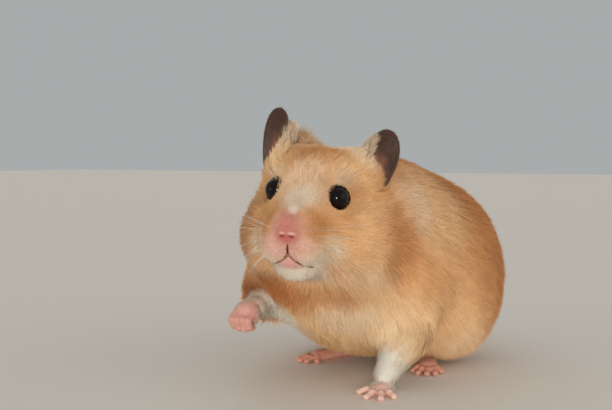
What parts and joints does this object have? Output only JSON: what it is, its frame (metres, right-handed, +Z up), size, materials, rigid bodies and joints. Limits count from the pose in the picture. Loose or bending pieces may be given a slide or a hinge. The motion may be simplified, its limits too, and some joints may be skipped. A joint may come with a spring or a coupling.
{
  "type": "syrian hamster",
  "caption": "Life-size still model of a golden Syrian hamster, standing with one forepaw lifted and the head turned.",
  "frame": {"origin": "on the floor, below the middle of the animal's bounding box", "axes": "+Z up; -Y is the way the trunk faces, so +Y runs from head to tail; +X is the animal's left"},
  "size_m": [0.0676, 0.1136, 0.077],
  "materials": {
    "coat": "soft dense golden fur, paler on the face and chest",
    "paw_skin": "thin pink skin with sparse short hair",
    "ear_skin": "thin dark grey-brown skin",
    "eye": "wet glossy black",
    "claw": "small translucent horn claws",
    "whisker": "fine stiff pale hairs"
  },
  "bodies": {
    "root": {"head": "coat", "neck": "coat", "trunk": "coat", "foreleg_left": "coat", "foreleg_right": "coat", "hind_leg_left": "coat", "hind_leg_right": "coat", "forepaw_left": "paw_skin", "forepaw_right": "paw_skin", "hind_foot_left": "paw_skin", "hind_foot_right": "paw_skin", "tail": "paw_skin", "ear_left": "ear_skin", "ear_right": "ear_skin", "eye_left": "eye", "eye_right": "eye"}
  },
  "joints": []
}
